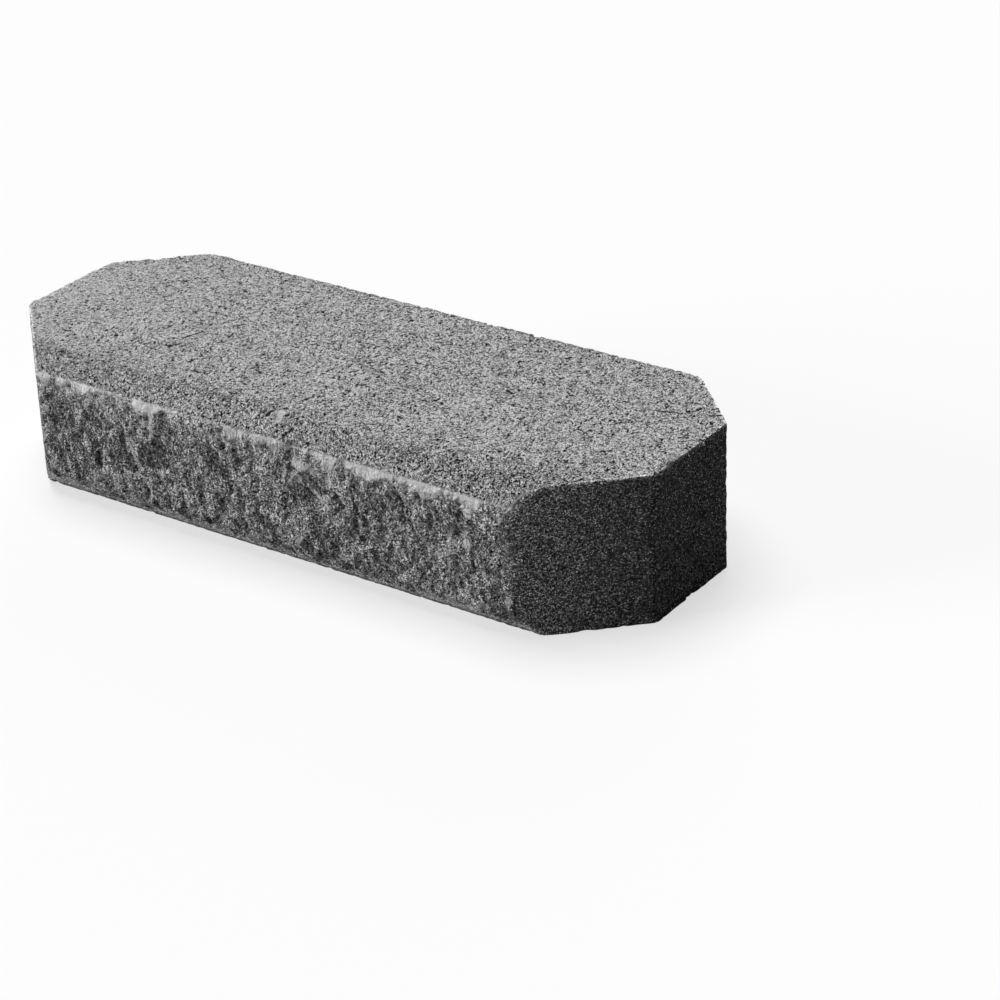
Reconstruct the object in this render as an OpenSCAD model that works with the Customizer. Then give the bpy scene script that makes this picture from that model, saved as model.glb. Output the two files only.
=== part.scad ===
// Wall coping stone, cast in one piece.
// An elongated octagon in plan, with a flat top and a flat bed of the same outline. Between them the two long
// faces stand out as rough split faces, with a sloped band above the brow and a bevelled lip along the foot.
// The two ends and the four corner cuts are plain upright joint faces. The origin is in the middle of the bed.

/* [Stone] */
// Overall length, from one end face to the other
length = 500; // [350:5:700]
// Depth of the flat top, from its front edge to its back edge
top_depth = 180; // [150:5:260]
// Height, from bed to top
height = 100; // [70:5:150]

/* [Joint faces] */
// Length that each 45 degree corner cut takes off the long and the short edge of the top
corner_cut = 49; // [20:1:65]
// Width of the worn edge where the top meets the ends and the corner cuts
worn_edge = 2; // [0.5:0.5:4]

/* [Long faces] */
// How far the brow of a long face stands out past the edge of the top
brow_reach = 15; // [8:1:25]
// How far the brow lies below the top
brow_drop = 15; // [5:1:25]
// How far the split face leans back from the brow down to the lip
face_lean = 3; // [0:1:6]
// Height of the bevelled lip, which draws in to the edge of the bed
lip_height = 14; // [5:1:25]

/* [Hidden] */

concrete_grey = [0.33, 0.33, 0.33];

// Half depths of the section between the long faces
edge_y = top_depth / 2;
brow_y = edge_y + brow_reach;
lip_y = brow_y - face_lean;

// Distance between two opposite corner cuts, measured square to them
cut_to_cut = (length + top_depth - 2 * corner_cut) / sqrt(2);

// Longer than the stone in any direction
bar_length = 2 * (length + 2 * brow_y);

// A closed outline from its right half, which is listed from the bed up
function both_sides(half) =
    concat(half, [for (i = [len(half) - 1 : -1 : 0]) [-half[i].x, half[i].y]]);

// Section between two plain joint faces
function joint_section(width) = both_sides([
    [width / 2, 0],
    [width / 2, height - worn_edge],
    [width / 2 - worn_edge, height]
]);

// Section between the two long faces
function long_face_section() = both_sides([
    [edge_y, 0],
    [lip_y, lip_height],
    [brow_y, height - brow_drop],
    [edge_y, height]
]);

// A bar of one section, whose width lies along X before it is turned about Z
module bar(section, turn) {
    rotate([0, 0, turn])
        rotate([90, 0, 0])
            linear_extrude(height = bar_length, center = true)
                polygon(section);
}

// What four crossed bars have in common: the ends, the long faces and both pairs of corner cuts
module coping_stone() {
    color(concrete_grey)
        intersection() {
            bar(joint_section(length), 0);
            bar(long_face_section(), 90);
            bar(joint_section(cut_to_cut), 45);
            bar(joint_section(cut_to_cut), -45);
        }
}

coping_stone();
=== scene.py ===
"""A wall coping stone of dry-pressed concrete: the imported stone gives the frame, and one closely
meshed piece stands for it, with split long faces, chipped brows, worn arrises and open grain."""
import math
from functools import reduce

import bpy
from mathutils import Matrix, Vector


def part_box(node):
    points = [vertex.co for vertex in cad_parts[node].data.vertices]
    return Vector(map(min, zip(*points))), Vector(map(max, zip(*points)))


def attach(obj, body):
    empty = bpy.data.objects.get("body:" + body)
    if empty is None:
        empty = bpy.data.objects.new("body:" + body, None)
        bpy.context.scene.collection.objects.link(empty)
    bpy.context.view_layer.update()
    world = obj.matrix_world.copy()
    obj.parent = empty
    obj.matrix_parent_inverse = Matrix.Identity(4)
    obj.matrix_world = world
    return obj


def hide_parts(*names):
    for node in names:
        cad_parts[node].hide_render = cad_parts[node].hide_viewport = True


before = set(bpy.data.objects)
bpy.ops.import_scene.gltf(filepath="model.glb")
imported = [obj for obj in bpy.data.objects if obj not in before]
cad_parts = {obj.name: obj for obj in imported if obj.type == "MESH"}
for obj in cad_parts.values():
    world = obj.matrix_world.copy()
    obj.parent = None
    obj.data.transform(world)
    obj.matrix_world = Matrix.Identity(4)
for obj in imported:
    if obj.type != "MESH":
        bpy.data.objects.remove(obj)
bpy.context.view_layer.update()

# ---------------------------------------------------------------- sizes, in millimetres
MM = 0.001
low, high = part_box("coping_stone")
LENGTH = (high.x - low.x) / MM
HEIGHT = (high.z - low.z) / MM
BROW_REACH = 15.0  # how far a brow stands out past the edge of the top
BROW_DROP = 15.0  # how far the brow lies below the top
FACE_LEAN = 3.0  # how far a split face leans back from brow to lip
LIP_HEIGHT = 14.0
EDGE_Y = (high.y - low.y) / MM / 2 - BROW_REACH  # half depth of the top and of the bed
CORNER_CUT = 49.0
END_HALF = EDGE_Y - CORNER_CUT  # half width of an end face
CUT_SUM = LENGTH / 2 + END_HALF  # x + y all over a corner cut
LIP_Y = EDGE_Y + BROW_REACH - FACE_LEAN
GRID = 1.3  # mesh spacing on the split faces
SHALLOW = 0.35  # share of the depth that counts when a mark on a split face is placed
SHARP_ANGLE = 38.0  # facets that meet more steeply than this have a crisp edge between them
FACES_APART = 400.0  # shift of the noise from one long face to the other, so that they are unlike
SETTLING_STEPS = 6  # how often each point of the blank is moved to reach the worn surface
CONCRETE_GREY = 0.30  # the colour at a tone of 0

# What can be set on the relief: how strong the broken relief, the wear and the pits are, and its seed
RELIEF_SETTINGS = {"split_relief": 1.0, "arris_wear": 1.0, "pit_depth": 0.9, "seed": 4.0}

# What the finish needs to know of each point of the surface
MASKS = ("split", "pale", "crest", "lip", "bevel", "crease")

# The bevel is whole down to this far below the top, and broken below that
BROW_LINE = 11.9
SPLIT_REACH = 13.2  # how far the middle of a split face stands out past the edge of the top
FOOT_CURL = 5.5  # how far the foot of a split face curls in towards the lip
CREST_LEVEL = 0.1  # noise closer to its middle than this is a crest, and further off it is a hollow

# Where the brow is broken into pale tongues: (x, half the width, how far down it goes)
BROW_TONGUES = (
    (-182.0, 8.0, 7.0),
    (-168.0, 4.0, 8.0),
    (-153.0, 8.0, 7.0),
    (-96.0, 14.0, 7.0),
    (-90.0, 4.0, 13.0),
    (-22.0, 8.0, 7.0),
    (-2.0, 6.0, 6.0),
    (9.0, 4.0, 9.0),
    (52.0, 9.0, 9.0),
    (82.0, 20.0, 7.0),
    (127.0, 14.0, 8.0),
    (160.0, 10.0, 7.0),
    (158.0, 5.0, 13.0),
    (189.0, 6.0, 7.0),
)
# Where the pale line along the brow has worn away: (x, half the length, how far)
FADED_BROW = (
    (-117.0, 15.0, 0.7),
    (-52.0, 29.0, 0.8),
    (31.0, 15.0, 1.0),
    (181.0, 11.0, 0.8),
)
# Knocks in the stone: (x, y, z, radius, depth)
KNOCKS = (
    (5.5, -92.0, 97.0, 6.5, 1.6),
    (0.5, -86.0, 100.0, 4.0, 3.0),
    (217.0, 51.0, 100.0, 4.0, 2.5),
    (224.0, 45.0, 100.0, 3.0, 2.0),
    (25.0, -106.0, 82.0, 11.0, 3.5),
    (52.0, -104.0, 67.0, 14.0, 2.6),
    (250.0, -23.0, 98.5, 6.0, 3.2),
    (249.5, -2.0, 99.5, 4.5, 2.2),
    (249.0, 13.0, 99.5, 5.0, 2.2),
    (248.0, 31.0, 99.5, 4.0, 2.0),
)
# Pale flakes in the skin: (x, y, z, radius, paleness)
PALE_FLAKES = (
    (3.0, -87.5, 99.5, 3.2, 0.66),
    (7.0, -89.0, 99.0, 3.2, 0.64),
    (6.5, -92.0, 97.0, 3.0, 0.62),
    (5.0, -57.7, 100.0, 3.2, 0.62),
    (115.5, -85.0, 100.0, 1.8, 0.75),
    (-195.0, -30.0, 100.0, 6.0, 0.5),
    (246.0, -14.5, 100.0, 4.5, 0.45),
    (24.6, -100.6, 75.0, 3.2, 0.9),
    (31.0, -102.5, 75.2, 4.2, 0.95),
    (37.0, -102.0, 74.5, 3.8, 0.9),
    (27.0, -101.7, 66.5, 4.5, 0.65),
    (156.3, -103.7, 57.0, 3.6, 1.0),
    (152.5, -103.0, 85.5, 3.2, 1.0),
    (159.5, -103.0, 84.0, 4.2, 1.0),
    (156.5, -103.0, 79.5, 3.6, 1.0),
    (-143.0, -104.0, 22.0, 5.0, 0.6),
    (184.0, -102.7, 24.0, 3.2, 0.7),
    (166.5, -100.6, 15.7, 2.8, 0.7),
)
# Thin pale ledges and scratches: (from, to, half width, paleness)
PALE_LINES = (
    ((15.5, -102.0, 83.5), (20.5, -99.6, 85.0), 1.0, 0.8),
    ((20.5, -99.6, 85.0), (27.0, -100.4, 86.0), 1.0, 0.85),
    ((27.0, -100.4, 86.0), (36.2, -102.6, 87.5), 1.0, 0.85),
    ((36.2, -102.6, 87.5), (42.5, -102.7, 86.0), 0.9, 0.7),
    ((35.5, -102.2, 64.0), (38.0, -100.5, 59.0), 0.8, 0.95),
    ((38.0, -100.5, 59.0), (42.0, -101.2, 56.5), 0.9, 0.95),
    ((42.0, -101.2, 56.5), (52.0, -103.1, 57.2), 0.7, 0.9),
    ((10.0, -101.6, 84.5), (21.0, -102.7, 61.0), 0.8, 0.6),
    ((-75.5, -101.6, 35.5), (-72.5, -104.0, 29.0), 0.9, 0.9),
    ((-46.0, -102.7, 55.5), (-48.0, -103.0, 44.5), 0.9, 0.7),
    ((1.0, -102.9, 22.5), (2.5, -102.4, 16.0), 0.9, 0.8),
    ((146.5, -103.3, 66.5), (141.0, -102.5, 33.0), 1.0, 0.6),
    ((157.0, -103.7, 57.0), (158.5, -104.0, 53.0), 1.0, 0.9),
    ((-229.5, 39.0, 100.0), (-221.0, 38.0, 100.0), 0.7, 0.55),
    ((-223.0, 38.0, 100.0), (-212.0, 38.7, 100.0), 0.9, 0.72),
    ((-227.5, 16.0, 100.0), (-218.0, 17.5, 100.0), 0.6, 0.5),
    ((-3.0, -26.0, 100.0), (-4.0, -18.5, 100.0), 1.0, 0.4),
    ((-4.0, -18.5, 100.0), (2.0, -19.0, 100.0), 1.0, 0.4),
)
# Cracks and torn pits, and painted shadows by the chip and under pale ledges: (from, to, half width, how
# dark)
CRACKS_AND_SHADOWS = (
    # The first three are painted shadow in and beside the chip at the front of the top
    ((-2.0, -92.5, 98.0), (0.0, -87.0, 100.0), 1.7, 4.5),
    ((0.0, -87.0, 100.0), (6.0, -82.0, 100.0), 1.5, 4.5),
    ((12.0, -88.5, 100.0), (13.5, -84.5, 100.0), 0.8, 4.5),
    # These two are painted shadow under the pale ledges of the split front face
    ((21.5, -101.5, 71.0), (26.0, -102.0, 70.5), 1.7, 1.5),
    ((27.0, -101.5, 62.5), (35.0, -102.2, 61.0), 1.2, 1.5),
    ((7.2, -67.6, 100.0), (8.0, -63.5, 100.0), 0.8, 4.5),
    ((8.0, -63.5, 100.0), (8.5, -59.1, 100.0), 0.9, 4.5),
    ((15.7, -99.1, 90.7), (20.7, -95.1, 94.7), 1.3, 3.0),
    ((-120.5, -32.0, 100.0), (-116.0, -16.5, 100.0), 0.9, 4.5),
    ((-121.0, -47.0, 100.0), (-116.0, -39.0, 100.0), 0.8, 4.5),
    ((-93.0, -60.0, 100.0), (-92.0, -55.0, 100.0), 0.9, 4.5),
    ((-82.0, -69.0, 100.0), (-73.0, -67.5, 100.0), 0.9, 4.5),
    ((-95.0, -17.0, 100.0), (-97.0, -8.5, 100.0), 0.8, 4.5),
    ((-51.5, -46.0, 100.0), (-48.5, -37.0, 100.0), 0.7, 4.5),
    ((-7.0, -25.0, 100.0), (-6.0, -18.5, 100.0), 0.9, 4.5),
    ((6.0, -30.5, 100.0), (15.0, -27.5, 100.0), 0.8, 4.5),
    ((22.0, -32.5, 100.0), (26.5, -28.5, 100.0), 0.8, 4.5),
    ((6.5, -19.5, 100.0), (9.5, -15.0, 100.0), 0.9, 4.5),
    ((6.0, 8.5, 100.0), (7.5, 13.5, 100.0), 1.1, 4.5),
    ((221.5, 41.5, 100.0), (226.0, 49.0, 100.0), 1.3, 4.5),
    ((236.0, 43.5, 100.0), (243.0, 49.0, 100.0), 1.0, 4.5),
    ((200.0, 32.0, 100.0), (218.5, 37.5, 100.0), 0.7, 4.5),
    ((177.0, -13.0, 100.0), (187.0, -17.0, 100.0), 0.8, 4.5),
    ((205.0, -31.5, 100.0), (210.0, -28.5, 100.0), 0.8, 4.5),
    ((108.0, 10.5, 100.0), (114.5, 7.5, 100.0), 1.0, 4.5),
)
# Next to the joint at this x the brow is fuller, and it gets so over this length
FULL_BROW_X = 196.0
FULL_BROW_LENGTH = 34.0

# ---------------------------------------------------------------- writing node trees as formulas
class Field:
    """One output of a node, so that the maths of a tree can be written as a formula."""

    def __init__(self, tree, socket):
        self.tree = tree
        self.socket = socket

    def math(self, operation, *others):
        node = self.tree.nodes.new("ShaderNodeMath")
        node.operation = operation
        for slot, value in zip(node.inputs, (self, *others)):
            feed(slot, value)
        return Field(self.tree, node.outputs[0])

    def __add__(self, other):
        return self.math("ADD", other)

    def __sub__(self, other):
        return self.math("SUBTRACT", other)

    def __mul__(self, other):
        return self.math("MULTIPLY", other)

    def __truediv__(self, other):
        return self.math("DIVIDE", other)

    def __rsub__(self, other):
        return (self * -1.0) + other

    def size(self):
        """The value without its sign."""
        return self.math("ABSOLUTE")

    def larger(self, other, blend=0.0):
        """The larger of two values. With a blend distance, the change-over is rounded."""
        return self.math("SMOOTH_MAX", other, blend) if blend else self.math("MAXIMUM", other)

    def smaller(self, other, blend=0.0):
        return self.math("SMOOTH_MIN", other, blend) if blend else self.math("MINIMUM", other)

    def ramp(self, start, end):
        """0 at start, 1 at end, with an S-shaped rise between them."""
        node = self.tree.nodes.new("ShaderNodeMapRange")
        node.interpolation_type = "SMOOTHSTEP"
        feed(node.inputs["Value"], self)
        feed(node.inputs["From Min"], start)
        feed(node.inputs["From Max"], end)
        return Field(self.tree, node.outputs["Result"])

    def brightness(self):
        """A tone given in stops, as a factor: 0 leaves a colour as it is, 1 doubles it, -1 halves it."""
        node = self.tree.nodes.new("ShaderNodeMath")
        node.operation = "POWER"
        node.inputs[0].default_value = 2.0
        feed(node.inputs[1], self)
        return Field(self.tree, node.outputs[0])

    def mix(self, low_value, high_value):
        """low_value where this is 0, high_value where it is 1."""
        return self * (high_value - low_value) + low_value


def feed(slot, value):
    """Link a field to this input, or set the input to a plain value."""
    if isinstance(value, Field):
        value.tree.links.new(value.socket, slot)
    else:
        slot.default_value = value


def split_xyz(vector):
    node = vector.tree.nodes.new("ShaderNodeSeparateXYZ")
    feed(node.inputs[0], vector)
    return [Field(vector.tree, out) for out in node.outputs]


def join_xyz(x, y, z):
    node = x.tree.nodes.new("ShaderNodeCombineXYZ")
    for slot, value in zip(node.inputs, (x, y, z)):
        feed(slot, value)
    return Field(x.tree, node.outputs[0])


def vector_math(tree, operation, first, second):
    """One vector operation. A distance or dot product comes out as a number, all else as a vector."""
    node = tree.nodes.new("ShaderNodeVectorMath")
    node.operation = operation
    feed(node.inputs[0], first)
    feed(node.inputs["Scale"] if operation == "SCALE" else node.inputs[1], second)
    is_number = operation in ("DISTANCE", "DOT_PRODUCT")
    return Field(tree, node.outputs["Value" if is_number else "Vector"])


def scaled(vector, factor):
    return vector_math(vector.tree, "SCALE", vector, factor)


def distance(vector, point):
    return vector_math(vector.tree, "DISTANCE", vector, point)


def line_distance(vector, start, end):
    """Distance to the straight line between two points."""
    tree = vector.tree
    line = Vector(end) - Vector(start)
    direction = line / line.length
    away = vector_math(tree, "ADD", vector, -Vector(start))
    along = vector_math(tree, "DOT_PRODUCT", away, direction).larger(0.0).smaller(line.length)
    nearest = vector_math(tree, "SCALE", direction, along)
    return vector_math(tree, "DISTANCE", away, nearest)


def noise(vector, feature, detail=2.0, roughness=0.5, distortion=0.0, seed=0.0):
    """Noise whose features are about this size, in the vector's units. It runs from about 0 to 1."""
    node = vector.tree.nodes.new("ShaderNodeTexNoise")
    node.noise_dimensions = "4D"
    feed(node.inputs["Vector"], vector)
    feed(node.inputs["W"], seed)
    node.inputs["Scale"].default_value = 1.0 / feature
    node.inputs["Detail"].default_value = detail
    node.inputs["Roughness"].default_value = roughness
    node.inputs["Distortion"].default_value = distortion
    return Field(vector.tree, node.outputs[0])


def swing(vector, feature, detail=2.0, roughness=0.5, distortion=0.0, seed=0.0):
    """The same noise about 0, so that its size is smallest along winding lines."""
    return noise(vector, feature, detail, roughness, distortion, seed) - 0.5


def cell_greys(vector, feature):
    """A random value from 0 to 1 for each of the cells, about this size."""
    node = vector.tree.nodes.new("ShaderNodeTexVoronoi")
    feed(node.inputs["Vector"], vector)
    node.inputs["Scale"].default_value = 1.0 / feature
    colour = vector.tree.nodes.new("ShaderNodeSeparateColor")
    vector.tree.links.new(node.outputs["Color"], colour.inputs[0])
    return Field(vector.tree, colour.outputs[0])


def rounded_cells(vector, feature):
    """Distance to the nearest of scattered points, about 0 to 1 over a cell of this size."""
    node = vector.tree.nodes.new("ShaderNodeTexVoronoi")
    node.feature = "SMOOTH_F1"
    feed(node.inputs["Vector"], vector)
    node.inputs["Scale"].default_value = 1.0 / feature
    node.inputs["Smoothness"].default_value = 0.2
    return Field(vector.tree, node.outputs["Distance"])


# ---------------------------------------------------------------- the blank
def steps(start, end, spacing):
    """Even shares of the way from start to end, about this spacing apart, from 0 up to but without 1."""
    count = max(1, round((Vector(end) - Vector(start)).length / spacing))
    return [i / count for i in range(count)]


def section_rows():
    """(height, half depth) of each row of the side walls, from the top down to the bed."""
    corners = [
        (HEIGHT, EDGE_Y),
        (HEIGHT - BROW_DROP, EDGE_Y + BROW_REACH),
        (LIP_HEIGHT, LIP_Y),
        (0.0, EDGE_Y),
    ]
    rows = []
    for start, end in zip(corners, corners[1:]):
        rows += [tuple(Vector(start).lerp(Vector(end), t)) for t in steps(start, end, GRID)]
    return rows + [corners[-1]]


def blank_mesh():
    """The sharp stone as a closed grid: rings of points down the side walls, a grid over the top and one
    face for the bed. Every ring has as many points, so corners and edges run straight down the walls."""
    long_count = round(2 * (CUT_SUM - EDGE_Y) / GRID)
    cut_count = round(CORNER_CUT * math.sqrt(2) / (2 * GRID))
    end_count = round(2 * END_HALF / (2 * GRID))
    joint_count = 2 * cut_count + end_count

    def ring(z, half_depth):
        """From the front left corner round by the front, right, back and left."""
        corner_x = CUT_SUM - half_depth
        stops = [
            (-corner_x, -half_depth, long_count),
            (corner_x, -half_depth, cut_count),
            (LENGTH / 2, -END_HALF, end_count),
            (LENGTH / 2, END_HALF, cut_count),
            (corner_x, half_depth, long_count),
            (-corner_x, half_depth, cut_count),
            (-LENGTH / 2, END_HALF, end_count),
            (-LENGTH / 2, -END_HALF, cut_count),
        ]
        points = []
        for (x, y, count), (next_x, next_y, _) in zip(stops, stops[1:] + stops[:1]):
            for i in range(count):
                t = i / count
                points.append((x + t * (next_x - x), y + t * (next_y - y), z))
        return points

    rows = [ring(z, y) for z, y in section_rows()]
    around = len(rows[0])
    points = [p for row in rows for p in row]
    faces = []
    for r in range(len(rows) - 1):
        for i in range(around):
            j = (i + 1) % around
            faces.append((r * around + i, (r + 1) * around + i, (r + 1) * around + j, r * around + j))

    # The top: rows of points from the front edge to the back edge
    inner = {}
    for row in range(1, joint_count):
        left = points[around - row]
        right = points[long_count + row]
        for column in range(1, long_count):
            inner[row, column] = len(points)
            t = column / long_count
            points.append((left[0] + t * (right[0] - left[0]), left[1], HEIGHT))

    def top_point(row, column):
        """The number of this point of the top, which is one of the first ring's at its edges."""
        if row == 0:
            return column
        if row == joint_count:
            return long_count + joint_count + long_count - column
        if column == 0:
            return around - row
        if column == long_count:
            return long_count + row
        return inner[row, column]

    for row in range(joint_count):
        for column in range(long_count):
            square = [(row, column), (row, column + 1), (row + 1, column + 1), (row + 1, column)]
            faces.append(tuple(top_point(*corner) for corner in square))
    bed_start = (len(rows) - 1) * around
    faces.append(tuple(bed_start + i for i in reversed(range(around))))

    mesh = bpy.data.meshes.new("stone_blank")
    mesh.from_pydata([Vector(p) * MM for p in points], [], faces)
    mesh.update()
    return mesh


# ---------------------------------------------------------------- the relief
def shape_group():
    """How far a point stands outside the stone, in millimetres, with the masks that the finish needs."""
    tree = bpy.data.node_groups.new("stone_shape", "GeometryNodeTree")
    sockets = tree.interface
    for name in RELIEF_SETTINGS:
        sockets.new_socket(name, in_out="INPUT", socket_type="NodeSocketFloat")
    for name in ("outside", *MASKS):
        sockets.new_socket(name, in_out="OUTPUT", socket_type="NodeSocketFloat")
    inputs = tree.nodes.new("NodeGroupInput")
    given = {s.name: Field(tree, s) for s in inputs.outputs if s.name}
    place = scaled(Field(tree, tree.nodes.new("GeometryNodeInputPosition").outputs[0]), 1 / MM)
    x, y, z = split_xyz(place)
    away_x = x.size()
    away_y = y.size()
    seed = given["seed"]

    # The long faces are broken surfaces over (x, z), unlike each other: sharp crests between
    # hollows, rounded stones in them, and a foot that curls in above the lip
    front_or_back = y.math("SIGN")
    side = front_or_back * FACES_APART
    face_place = join_xyz(x, side, z * 0.8)
    broad = swing(face_place, 48.0, 1.0, seed=seed)
    hollows = swing(face_place, 17.0, 1.0, 0.5, distortion=0.5, seed=seed).size()
    crags = swing(face_place, 8.0, 1.0, 0.6, distortion=0.5, seed=seed + 1.0).size()
    stones = rounded_cells(face_place, 7.0)
    crest = (CREST_LEVEL - hollows) * 10.0 + (CREST_LEVEL - crags) * 9.0 + (0.4 - stones) * 3.0
    relief = (broad * 5.0 + crest) * given["split_relief"]
    lean = z.ramp(LIP_HEIGHT, HEIGHT - BROW_DROP) - 1.0
    curl = (z.ramp(6.0, 18.0) - 1.0) * FOOT_CURL
    rough = away_y - (EDGE_Y + SPLIT_REACH) - lean - curl - relief
    turned_x = x * (front_or_back * -1.0)  # x to the right, as seen when facing either long face

    # The moulded band above the brow, which bulges where the brow is fuller, and the lip at the foot
    bevel = ((away_y - EDGE_Y) + (z - HEIGHT)) * math.sqrt(0.5)
    shallow = (away_y - EDGE_Y) * 0.36 + (z - HEIGHT) * 0.93 + 0.4
    steep = (away_y - EDGE_Y - 8.0) * 0.866 + (z - HEIGHT + 4.0) * 0.5
    full_brow = turned_x.ramp(FULL_BROW_X - FULL_BROW_LENGTH, FULL_BROW_X - 6.0)
    bevel = full_brow.mix(bevel, shallow.larger(steep, 1.0))
    lip_reach = LIP_Y - EDGE_Y
    lip_length = math.hypot(lip_reach, LIP_HEIGHT)
    lip = ((away_y - EDGE_Y) * LIP_HEIGHT - z * lip_reach) * (1 / lip_length)
    moulded = bevel.larger(lip, 0.5)

    # Below the brow line the edge is broken back, in tongues that reach down to the split face
    along = join_xyz(x, side, 0.0)
    ragged = swing(along, 6.0, 2.0, 0.7, seed=seed + 7.0)
    tongue = ragged * 10.0 + 3.6
    for middle_x, half_width, reach in BROW_TONGUES:
        across = (turned_x - middle_x) * (1 / half_width)
        tongue = tongue.larger((1.0 - across * across) * (reach + 1.0) + ragged * 8.0, 1.0)
    tongue = tongue.larger(1.2)
    below_brow = (HEIGHT - BROW_LINE) - z
    broken_brow = away_y - (EDGE_Y + BROW_LINE) - below_brow * 2.8 / tongue
    brow_rough = swing(place, 5.0, 1.0, seed=seed + 9.0) * 1.5
    broken_brow = broken_brow + brow_rough
    long_face = rough.larger(moulded, 0.8).larger(broken_brow, 0.6)

    # Wear: each edge is rounded over a width that wanders along it
    wander = noise(place, 14.0, 2.0, 0.6, seed=seed + 3.0)
    worn = wander.ramp(0.35, 0.75).mix(0.8, 3.5) * given["arris_wear"]
    end = away_x - LENGTH / 2
    cut = (away_x + away_y - CUT_SUM) * math.sqrt(0.5)
    joint = end.larger(cut, 2.0)
    past_joint = long_face - joint
    walls = long_face.larger(joint, worn * 1.3)
    top = z - HEIGHT
    outside = walls.larger(top, worn * 0.6)

    # Crumbs are missing along the arrises
    arris = (walls - top).size().ramp(3.5, 0.5).larger(past_joint.size().ramp(3.5, 0.5))
    crumbled = noise(place, 4.0, 2.0, 0.7, seed=seed + 15.0).ramp(0.50, 0.68) * arris * 1.3

    # The skin of the moulded faces: slow swells, grain, scattered pits and a few knocks
    swell = swing(place, 30.0, 1.0, seed=seed + 11.0) * 0.8
    grain = swing(place, 4.5, 2.0, 0.6, seed=seed + 13.0) * 1.6
    pits = noise(place, 5.0, 1.0, 0.5, seed=seed + 17.0).ramp(0.60, 0.74) * given["pit_depth"]
    for *centre, radius, depth in KNOCKS:
        pits = pits.larger(distance(place, centre).ramp(radius, 0.0) * depth)
    nicks = noise(place, 7.0, 2.0, 0.6, seed=seed + 23.0).ramp(0.56, 0.70)
    nicks = nicks * z.ramp(5.0, 0.5) * 1.8
    outside = outside - (swell + grain - pits.larger(crumbled).larger(nicks))

    # The masks: the split faces, the pale broken brow and arrises, the lip, the bevel and its crease
    upper = z.ramp(HEIGHT / 2, HEIGHT * 0.7)
    past_top = bevel - top
    split = (rough - moulded).ramp(-1.2, 0.6) * (rough - joint).ramp(-1.0, 0.5)
    off_joint = past_joint.ramp(-1.5, 0.5)
    on_brow = upper * off_joint
    frayed = swing(place, 4.0, 2.0, 0.7, seed=seed + 21.0) * 7.0
    kept = reduce(
        Field.__mul__,
        [
            1.0 - (turned_x - middle_x).size().ramp(half_length, half_length * 0.6) * share
            for middle_x, half_length, share in FADED_BROW
        ],
    )
    patch = (below_brow + frayed * 0.3).ramp(-0.5, 0.5)
    patch = patch * (tongue * kept - below_brow + frayed * kept.mix(0.5, 1.0)).ramp(-1.0, 0.6)
    gaps = noise(along, 9.0, 3.0, 0.7, seed=seed + 8.0).ramp(0.40, 0.62)
    edge_line = (below_brow + frayed * 0.8).ramp(-0.5, 0.5) * (below_brow + frayed * 0.4).ramp(3.4, 1.6)
    edge_line = edge_line * (gaps * 0.42)
    pale = (patch * tongue.ramp(1.5, 5.0).mix(0.5, 1.0)).larger(edge_line * kept) * on_brow
    side_arris = (1.0 - past_joint.size().ramp(0.3, 2.0)) * wander.ramp(0.52, 0.62)
    pale = pale.larger(side_arris * split * 0.4)
    # Pale along the arris of the bevel and a joint face: partly paler worn arris, partly a painted
    # highlight
    bevel_arris = (joint - bevel).ramp(-2.0, -0.4) * (joint - bevel).ramp(0.8, 0.0)
    pale = pale.larger(bevel_arris * past_top.ramp(0.0, 3.0) * z.ramp(80.0, 86.0) * 0.9)
    smooth_lip = (lip - rough).ramp(-0.6, 0.6) * z.ramp(LIP_HEIGHT + 4.0, LIP_HEIGHT) * off_joint
    on_bevel = past_top.ramp(-1.0, 1.5) * (bevel - rough).ramp(-1.0, 0.5) * upper * off_joint
    crease = (past_top + 1.0).size().ramp(4.2, 0.2) * 0.7 + past_top.ramp(-26.0, 0.0) * 0.5
    crease = crease * y.ramp(30.0, -30.0).mix(0.4, 1.0) * upper
    crease = crease * (away_x + away_y).ramp(CUT_SUM, CUT_SUM - 3.0)

    outputs = tree.nodes.new("NodeGroupOutput")
    results = (outside, split, pale, crest, smooth_lip, on_bevel, crease)
    for name, value in zip(("outside", *MASKS), results):
        feed(outputs.inputs[name], value)
    return tree


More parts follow.
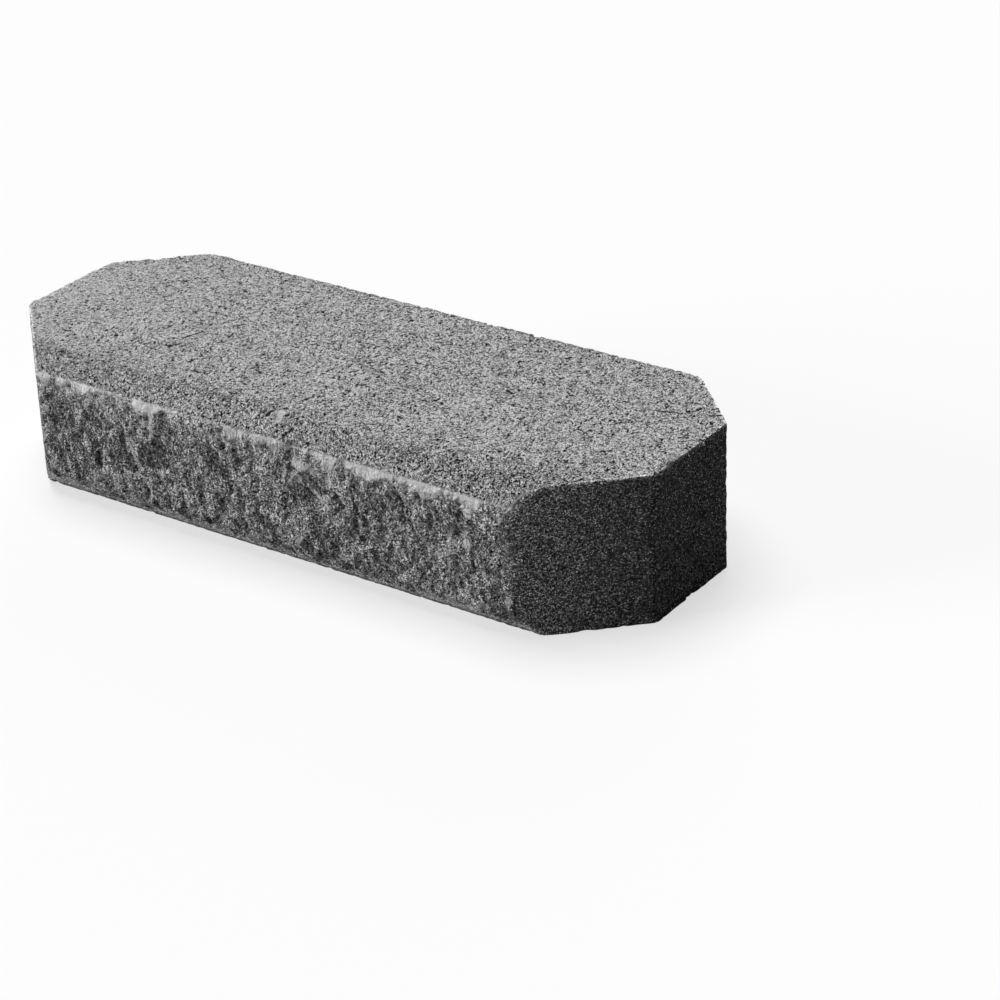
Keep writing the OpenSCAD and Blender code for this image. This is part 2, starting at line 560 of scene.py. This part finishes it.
def relief_tree(material):
    """Moves the blank's points onto the stone's worn and split surface, and names its masks."""
    tree = bpy.data.node_groups.new("stone_relief", "GeometryNodeTree")
    sockets = tree.interface
    sockets.new_socket("Geometry", in_out="INPUT", socket_type="NodeSocketGeometry")
    for name in RELIEF_SETTINGS:
        sockets.new_socket(name, in_out="INPUT", socket_type="NodeSocketFloat")
    sockets.new_socket("Geometry", in_out="OUTPUT", socket_type="NodeSocketGeometry")
    nodes = tree.nodes
    links = tree.links
    inputs = nodes.new("NodeGroupInput")
    geometry = inputs.outputs["Geometry"]
    shape = nodes.new("GeometryNodeGroup")
    shape.node_tree = shape_group()
    for name in RELIEF_SETTINGS:
        links.new(inputs.outputs[name], shape.inputs[name])

    # The way out of the blank at each point is kept, and the point slides along it. It is level
    # around the bed, which stays flat
    keep = nodes.new("GeometryNodeStoreNamedAttribute")
    keep.data_type = "FLOAT_VECTOR"
    keep.domain = "POINT"
    keep.inputs["Name"].default_value = "way_out"
    links.new(geometry, keep.inputs["Geometry"])
    normal = Field(tree, nodes.new("GeometryNodeInputNormal").outputs[0])
    place = Field(tree, nodes.new("GeometryNodeInputPosition").outputs[0])
    out_x, out_y, out_z = split_xyz(normal)
    off_bed = split_xyz(place)[2].ramp(0.0, 0.1 * MM)
    feed(keep.inputs["Value"], join_xyz(out_x, out_y, out_z * off_bed))
    geometry = keep.outputs[0]
    way_out = nodes.new("GeometryNodeInputNamedAttribute")
    way_out.data_type = "FLOAT_VECTOR"
    way_out.inputs["Name"].default_value = "way_out"
    step = scaled(Field(tree, way_out.outputs[0]), Field(tree, shape.outputs["outside"]) * -MM)
    for _ in range(SETTLING_STEPS):
        slide = nodes.new("GeometryNodeSetPosition")
        links.new(geometry, slide.inputs["Geometry"])
        feed(slide.inputs["Offset"], step)
        geometry = slide.outputs[0]

    for name in MASKS:
        store = nodes.new("GeometryNodeStoreNamedAttribute")
        store.data_type = "FLOAT"
        store.domain = "POINT"
        store.inputs["Name"].default_value = name
        links.new(geometry, store.inputs["Geometry"])
        links.new(shape.outputs[name], store.inputs["Value"])
        geometry = store.outputs[0]
    drop = nodes.new("GeometryNodeRemoveAttribute")
    drop.inputs["Name"].default_value = "way_out"
    links.new(geometry, drop.inputs["Geometry"])
    real = nodes.new("GeometryNodeRealizeInstances")
    links.new(drop.outputs[0], real.inputs["Geometry"])
    paint = nodes.new("GeometryNodeSetMaterial")
    paint.inputs["Material"].default_value = material
    links.new(real.outputs[0], paint.inputs["Geometry"])
    outputs = nodes.new("NodeGroupOutput")
    links.new(paint.outputs[0], outputs.inputs["Geometry"])
    return tree


def carved_stone(material):
    """The finished stone as one plain mesh."""
    blank = bpy.data.objects.new("stone_blank", blank_mesh())
    bpy.context.scene.collection.objects.link(blank)
    modifier = blank.modifiers.new("relief", "NODES")
    modifier.node_group = relief_tree(material)
    for item in modifier.node_group.interface.items_tree:
        if item.name in RELIEF_SETTINGS:
            modifier[item.identifier] = RELIEF_SETTINGS[item.name]
    bpy.context.view_layer.update()
    evaluated = blank.evaluated_get(bpy.context.evaluated_depsgraph_get())
    mesh = bpy.data.meshes.new_from_object(evaluated)
    bpy.data.objects.remove(blank)
    mesh.name = "coping_stone_carved"
    bed = max(mesh.polygons, key=lambda face: len(face.vertices))
    mesh.polygons.foreach_set("use_smooth", [face.index != bed.index for face in mesh.polygons])
    mesh.set_sharp_from_angle(angle=math.radians(SHARP_ANGLE))
    stone = bpy.data.objects.new("stone_carved", mesh)
    bpy.context.scene.collection.objects.link(stone)
    return stone


# ---------------------------------------------------------------- the finish
def attribute(tree, name):
    node = tree.nodes.new("ShaderNodeAttribute")
    node.attribute_name = name
    return Field(tree, node.outputs["Fac"])


def grey(value):
    """A colour of this grey."""
    node = value.tree.nodes.new("ShaderNodeCombineColor")
    for slot in node.inputs[:3]:
        feed(slot, value)
    return Field(value.tree, node.outputs[0])


def marks(place, frayed):
    """How dark the cracks and painted shadows are and how pale the flakes, ledges and scratches are, at
    each place.
    """
    x, y, z = split_xyz(place)
    flat = join_xyz(x, y * SHALLOW, z)

    def beside(*points):
        """The coordinates and the points to measure with. On a split face, which the relief moves in
        and out, depth counts for less."""
        if points[0][2] > HEIGHT - BROW_DROP * 0.7:
            return place, *points
        return flat, *((point[0], point[1] * SHALLOW, point[2]) for point in points)

    dark = []
    for start, end, half_width, darkness in CRACKS_AND_SHADOWS:
        away = line_distance(*beside(start, end)) + frayed * 4.0
        dark.append(away.ramp(half_width, half_width * 0.5) * darkness)
    bright = []
    for start, end, half_width, paleness in PALE_LINES:
        away = line_distance(*beside(start, end)) + frayed * 2.5
        bright.append(away.ramp(half_width + 0.4, half_width * 0.5) * paleness)
    for *centre, radius, paleness in PALE_FLAKES:
        away = distance(*beside(centre)) + frayed * 8.0
        bright.append(away.ramp(radius, radius - 0.6) * paleness)
    return reduce(Field.larger, dark), reduce(Field.larger, bright)


def concrete():
    """Charcoal dry-pressed concrete: fine open grain, paler on worn edges (partly painted highlight),
    mottled where split, with painted shade.
    """
    material = bpy.data.materials.new("charcoal_concrete")
    material.use_nodes = True
    tree = material.node_tree
    shader = tree.nodes["Principled BSDF"]
    shader.inputs["Roughness"].default_value = 0.92
    shader.inputs["Specular IOR Level"].default_value = 0.25
    place = scaled(Field(tree, tree.nodes.new("ShaderNodeTexCoord").outputs["Object"]), 1 / MM)
    x, y, z = split_xyz(place)
    off_bed = z.ramp(0.05, 0.3)  # the masks mean nothing inside the one wide face of the bed
    split, pale, crest, lip, bevel, crease = (attribute(tree, name) * off_bed for name in MASKS)

    # Tones are in stops. Grains of sand, each its own grey, with open pores between them, darkened by
    # painted shade
    drawn = join_xyz(x, y * 0.7, z)  # the grain is longer across the stone than along it
    dust = swing(drawn, 0.45, 0.0, seed=16.0)
    sand = swing(drawn, 0.65, 1.0, 0.6, seed=1.0)
    grains = cell_greys(drawn, 0.85) - 0.5
    grit = swing(place, 2.8, 2.0, 0.6, seed=2.0)
    cloud = swing(place, 40.0, 2.0, 0.5, seed=5.0)
    contrast = x.ramp(-260.0, 20.0).mix(0.5, 1.0)  # the grain is calmer towards the left end
    pores = noise(drawn, 1.5, 2.0, 0.6, seed=6.0).ramp(0.42, 0.34)
    pinholes = noise(drawn, 1.5, 0.0, seed=6.2).ramp(0.345, 0.28)
    holes = noise(place, 2.6, 2.0, 0.6, distortion=0.4, seed=6.5).ramp(0.37, 0.32)
    worms = swing(place, 8.0, 2.0, 0.6, distortion=1.0, seed=7.0).size().ramp(0.035, 0.01)
    worms = worms * noise(place, 12.0, 1.0, seed=7.5).ramp(0.46, 0.56)
    busy = noise(place, 7.0, 2.0, 0.6, seed=17.0).ramp(0.38, 0.62).mix(0.6, 1.25)
    coarse = contrast * busy

    # Painted shade: darker on the bevel, in the crease above it, near the front right corner and slightly
    # to the right
    shade = bevel * x.ramp(90.0, 130.0).mix(0.35, 0.65) + crease * 0.85 + x * 0.0003
    shade = shade + x.ramp(90.0, 140.0) * y.ramp(-45.0, -85.0) * (1.0 - bevel) * 0.35
    moulded = dust * 17.0 + sand * 8.0 + grains * 4.7 + grit * 0.2
    moulded = (moulded * coarse + cloud * 0.4 + 0.75 - shade).smaller(1.4, 1.0)
    # Painted shade in the pores, pinholes and holes darkens them
    moulded = moulded - (pores * 1.8 + pinholes * 7.5 + holes * 5.2 + worms) * coarse

    # The joint faces have more open grain, with bright specks
    joint = ((x.size() + y.size() - CUT_SUM) * math.sqrt(0.5)).larger(x.size() - LENGTH / 2)
    on_joint = joint.ramp(-2.0, -0.6) * z.ramp(HEIGHT - 0.6, HEIGHT - 2.0)
    specks = noise(place, 0.9, 1.0, 0.6, seed=15.0).ramp(0.62, 0.72)
    open_grain_and_end_shadow = dust * 12.0 + sand * 5.0 + grains * 3.0 + specks * 1.4 - pinholes * 1.5
    # Painted shadow: the joint faces darken by 0.9 stops over the last 50 mm of the right end
    open_grain_and_end_shadow = open_grain_and_end_shadow * contrast - 0.45 - x.ramp(200.0, 250.0) * 0.9
    moulded = on_joint.mix(moulded, open_grain_and_end_shadow)

    cracks_and_shade, bright = marks(place, swing(place, 2.5, 2.0, 0.7, seed=14.0))
    # A pale rim along the top of the joint faces: partly paler worn arris, partly a painted highlight
    rim = (joint + grit * 4.0).ramp(-1.9, -0.9) * z.ramp(HEIGHT - 3.0, HEIGHT - 1.0)

    # The split faces are fresh and mottled in patches, and duller between them, with pale veins. They are
    # paler towards the brow and towards the left end
    stretched = join_xyz(x, y, z * 0.6)
    patch = noise(stretched, 12.0, 4.0, 0.7, distortion=0.8, seed=10.0).ramp(0.44, 0.58)
    ridge = CREST_LEVEL - swing(place, 4.5, 2.0, 0.6, distortion=0.8, seed=8.0).size()
    veins = swing(stretched, 9.0, 3.0, 0.65, distortion=0.6, seed=9.0)
    threads = swing(stretched, 6.0, 2.0, 0.6, distortion=1.5, seed=12.0).size().ramp(0.04, 0.0)
    # Ridges are paler crushed concrete; the hollows, crest hollows and pores are darkened with painted
    # shade
    fresh = dust * 10.0 + sand * 8.0 + grains * 4.5 + ridge * 8.0 + threads * 1.8
    fresh = fresh + specks * 0.8 - 0.25
    dull = dust * 6.5 + sand * 5.5 + grains * 2.8 + ridge * 4.0 + threads * 0.8 - 1.35
    broken = patch.mix(dull, fresh) + veins * 3.4 + crest * 0.35
    broken = broken + z.ramp(x.ramp(60.0, 150.0).mix(55.0, 74.0), 86.0) * 1.1
    broken = broken + x.ramp(-100.0, -200.0) * 0.3 - x.ramp(140.0, 175.0) * 0.25 + 0.1
    broken = broken.smaller(2.0, 0.6) - pores * 1.8 - pinholes * 1.5

    # The pale broken skin along the brow, and the smooth worn lip, with painted shade at its foot
    pale = (pale + grit * 0.8).larger(bright)
    grainy = (1.0 - pale).larger(0.15)
    shell = (dust * 6.0 + sand * 5.0 + grains * 2.4 - pinholes * 1.2) * grainy
    shell = shell + pale * 1.9 - 0.3 - z.ramp(84.0, 88.5) * x.ramp(20.0, 60.0) * 0.4
    shell = shell.smaller(1.75, 0.5)
    rubbed_lip_and_foot_shade = dust * 5.0 + sand * 4.5 + grains * 2.6 + grit * 1.5 + 0.75
    # Painted shade: the lowest 5 mm of the lip, where the stone meets the floor, is darker
    rubbed_lip_and_foot_shade = rubbed_lip_and_foot_shade - z.ramp(5.0, 1.0) * 1.4

    tone = split.mix(moulded, broken)
    tone = lip.mix(tone, rubbed_lip_and_foot_shade)
    tone = tone + rim * 0.7 - cracks_and_shade
    tone = pale.ramp(0.12, 0.32).mix(tone, shell)
    feed(shader.inputs["Base Color"], grey(tone.brightness() * CONCRETE_GREY))

    moulded_bump = sand * 1.5 + grains * 0.5 + grit * 1.2 - pores * 0.8 - holes * 1.2 - cracks_and_shade * 0.3
    broken_bump = ridge * 10.0 + sand * 1.5 + grains * 0.5 - pores * 0.8
    bump = tree.nodes.new("ShaderNodeBump")
    bump.inputs["Strength"].default_value = 1.0
    bump.inputs["Distance"].default_value = MM
    feed(bump.inputs["Height"], split.mix(moulded_bump, broken_bump))
    tree.links.new(bump.outputs[0], shader.inputs["Normal"])
    return material


# ---------------------------------------------------------------- floor, light and camera
def seen_by_camera(tree):
    """1 where the camera looks straight at it, 0 for the light that it gives to the stone."""
    return Field(tree, tree.nodes.new("ShaderNodeLightPath").outputs["Is Camera Ray"])


def floor():
    """A wide floor that takes the stone's shadow. It also glows a little for the camera, which sees it
    near white, and it throws less light back onto the stone than so pale a floor would."""
    half_size = 20.0
    level = -0.1 * MM  # a hair below the bed, so that the two never share a plane
    grey_seen = 0.32
    grey_thrown_back = 0.15
    glow_seen = 0.645
    mesh = bpy.data.meshes.new("floor")
    corners = [(-1, -1), (1, -1), (1, 1), (-1, 1)]
    mesh.from_pydata([(x * half_size, y * half_size, level) for x, y in corners], [], [(0, 1, 2, 3)])
    plate = bpy.data.objects.new("floor", mesh)
    bpy.context.scene.collection.objects.link(plate)
    material = bpy.data.materials.new("pale_floor")
    material.use_nodes = True
    tree = material.node_tree
    shader = tree.nodes["Principled BSDF"]
    shader.inputs["Roughness"].default_value = 1.0
    shader.inputs["Specular IOR Level"].default_value = 0.0
    seen = seen_by_camera(tree)
    feed(shader.inputs["Base Color"], grey(seen.mix(grey_thrown_back, grey_seen)))
    shader.inputs["Emission Color"].default_value = (1.0, 1.0, 1.0, 1.0)
    feed(shader.inputs["Emission Strength"], seen * glow_seen)
    mesh.materials.append(material)


def soft_sun(name, comes_from, strength, spread):
    """Light from far off, as from a wide soft box: its direction, strength and spread in degrees."""
    lamp = bpy.data.lights.new(name, "SUN")
    lamp.energy = strength
    lamp.angle = math.radians(spread)
    holder = bpy.data.objects.new(name, lamp)
    holder.rotation_euler = Vector(comes_from).to_track_quat("Z", "Y").to_euler()
    bpy.context.scene.collection.objects.link(holder)


def studio():
    """Three soft lights, and a background that is white to the camera but hardly lights the stone."""
    soft_sun("overhead", comes_from=(-0.30, 0.12, 1.0), strength=2.65, spread=40.0)
    soft_sun("front_left", comes_from=(-0.98, -1.0, 0.26), strength=2.4, spread=26.0)
    soft_sun("back_left", comes_from=(-0.5, 1.0, 0.3), strength=0.8, spread=40.0)
    world = bpy.data.worlds.new("studio")
    bpy.context.scene.world = world
    world.use_nodes = True
    tree = world.node_tree
    background = tree.nodes["Background"]
    background.inputs["Color"].default_value = (1.0, 1.0, 1.0, 1.0)
    feed(background.inputs["Strength"], seen_by_camera(tree).mix(0.05, 1.0))


def camera():
    """A long lens, high and to the right of the stone's front."""
    place = Vector((1.0642, -1.3278, 0.8673))
    forward = Vector((-0.52016, 0.72171, -0.45669))
    roll = math.radians(-2.11)
    lens = bpy.data.cameras.new("camera")
    lens.sensor_width = 36.0
    lens.lens = 104.4
    lens.clip_end = 100.0
    holder = bpy.data.objects.new("camera", lens)
    turned = forward.to_track_quat("-Z", "Y").to_matrix().to_4x4()
    holder.matrix_world = Matrix.Translation(place) @ turned @ Matrix.Rotation(roll, 4, "Z")
    bpy.context.scene.collection.objects.link(holder)
    bpy.context.scene.camera = holder


# ---------------------------------------------------------------- the scene
camera()
studio()
floor()
bpy.context.scene.view_settings.view_transform = "Standard"
stone = carved_stone(concrete())
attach(stone, "root")
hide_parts("coping_stone")
